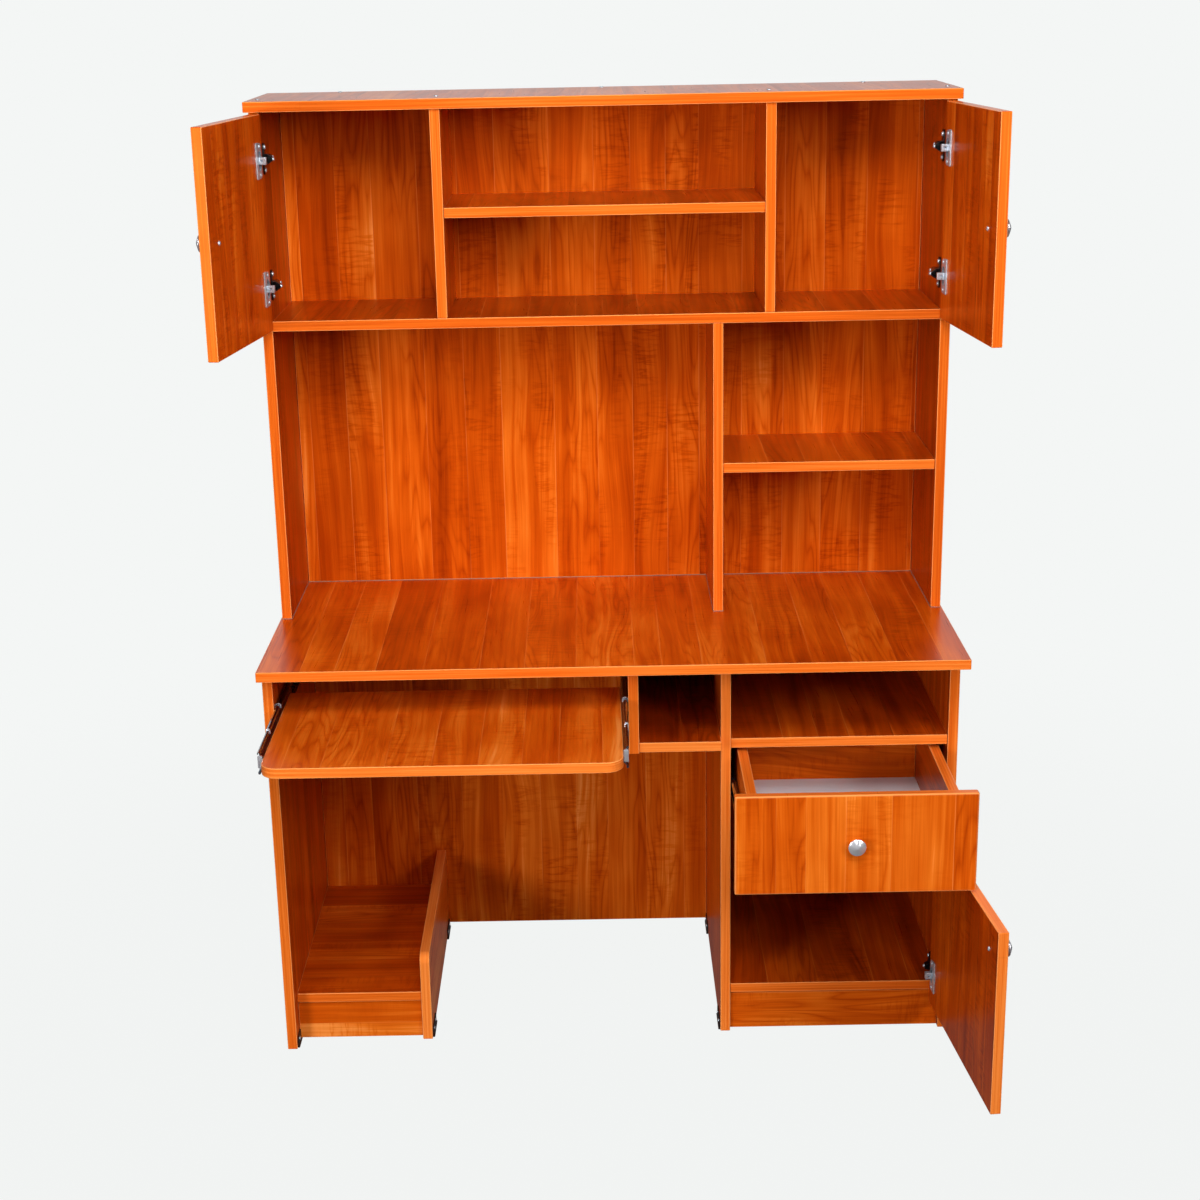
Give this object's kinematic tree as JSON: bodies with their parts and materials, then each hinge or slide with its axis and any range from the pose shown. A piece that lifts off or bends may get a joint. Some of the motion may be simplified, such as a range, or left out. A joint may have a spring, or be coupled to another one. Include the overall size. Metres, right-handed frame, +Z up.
{
  "type": "study desk",
  "caption": "Woodgrain laminate study desk with hutch cupboards and shelves, sliding keyboard tray, computer bay, drawer and pedestal cupboard with hinged doors.",
  "frame": {"origin": "on the floor, at the middle of the box around the desk as it stands with doors, drawer and tray open", "axes": "+Z up, +X to the sitter's right, the sitter at -Y"},
  "size_m": [1.3304, 0.9273, 1.68],
  "materials": {
    "laminate": "cherry woodgrain melamine laminate, satin",
    "drawer_lining": "pale grey faced hardboard, satin",
    "zinc": "bright zinc plated",
    "dark_steel": "dark zinc plated with oil film",
    "chrome": "bright chrome"
  },
  "bodies": {
    "carcass": {"desk_top": "laminate", "left_end_panel": "laminate", "right_end_panel": "laminate", "pedestal_inner_panel": "laminate", "modesty_panel": "laminate", "pedestal_back": "laminate", "tray_hanger": "laminate", "niche_shelf": "laminate", "pedestal_shelf": "laminate", "pedestal_floor": "laminate", "pedestal_plinth": "laminate", "bay_floor": "laminate", "bay_plinth": "laminate", "bay_guard": "laminate", "hutch_left_side": "laminate", "hutch_right_side": "laminate", "hutch_left_divider": "laminate", "hutch_right_divider": "laminate", "hutch_top": "laminate", "hutch_back": "laminate", "hutch_long_shelf": "laminate", "hutch_middle_shelf": "laminate", "hutch_lower_divider": "laminate", "hutch_side_shelf": "laminate", "hutch_left_upper_hinge_arm": "zinc", "hutch_left_lower_hinge_arm": "zinc", "hutch_right_upper_hinge_arm": "zinc", "hutch_right_lower_hinge_arm": "zinc", "pedestal_upper_hinge_arm": "zinc", "pedestal_lower_hinge_arm": "zinc", "drawer_left_slide_rail": "zinc", "drawer_right_slide_rail": "zinc", "tray_left_slide_rail": "dark_steel", "tray_right_slide_rail": "dark_steel"},
    "left_door": {"hutch_left_door": "laminate", "hutch_left_upper_hinge_cup": "zinc", "hutch_left_lower_hinge_cup": "zinc", "hutch_left_knob": "chrome"},
    "right_door": {"hutch_right_door": "laminate", "hutch_right_upper_hinge_cup": "zinc", "hutch_right_lower_hinge_cup": "zinc", "hutch_right_knob": "chrome"},
    "cupboard_door": {"pedestal_door": "laminate", "pedestal_upper_hinge_cup": "zinc", "pedestal_lower_hinge_cup": "zinc", "pedestal_knob": "chrome"},
    "drawer": {"drawer_front": "laminate", "drawer_left_side": "laminate", "drawer_right_side": "laminate", "drawer_back": "laminate", "drawer_base": "drawer_lining", "drawer_knob": "chrome", "drawer_left_slide_carrier": "zinc", "drawer_right_slide_carrier": "zinc"},
    "tray": {"keyboard_tray": "laminate", "tray_left_slide_carrier": "dark_steel", "tray_right_slide_carrier": "dark_steel"},
    "tray_slides": {"tray_left_slide_middle": "dark_steel", "tray_right_slide_middle": "dark_steel"}
  },
  "joints": [
    {"name": "left_door_hinge", "type": "hinge", "parent": "carcass", "child": "left_door", "pos_m": [-0.602, 0.165, 1.473], "axis": [0, 0, -1], "range_deg": [-98, 7]},
    {"name": "right_door_hinge", "type": "hinge", "parent": "carcass", "child": "right_door", "pos_m": [0.602, 0.165, 1.473], "axis": [0, 0, 1], "range_deg": [-96, 9]},
    {"name": "cupboard_door_hinge", "type": "hinge", "parent": "carcass", "child": "cupboard_door", "pos_m": [0.5935, -0.0678, 0.226], "axis": [0, 0, 1], "range_deg": [-95.5, 9.5]},
    {"name": "drawer_slide", "type": "slide", "parent": "carcass", "child": "drawer", "axis": [0, -1, 0], "range_m": [-0.24, 0.05]},
    {"name": "tray_slide", "type": "slide", "parent": "carcass", "child": "tray", "axis": [0, -1, 0], "range_m": [-0.25, 0.1]},
    {"name": "tray_slide_middle", "type": "slide", "parent": "carcass", "child": "tray_slides", "axis": [0, -1, 0], "range_m": [-0.125, 0.05]}
  ],
  "couplings": [
    {"joint": "tray_slide_middle", "follows": "tray_slide", "ratio": 0.5}
  ]
}
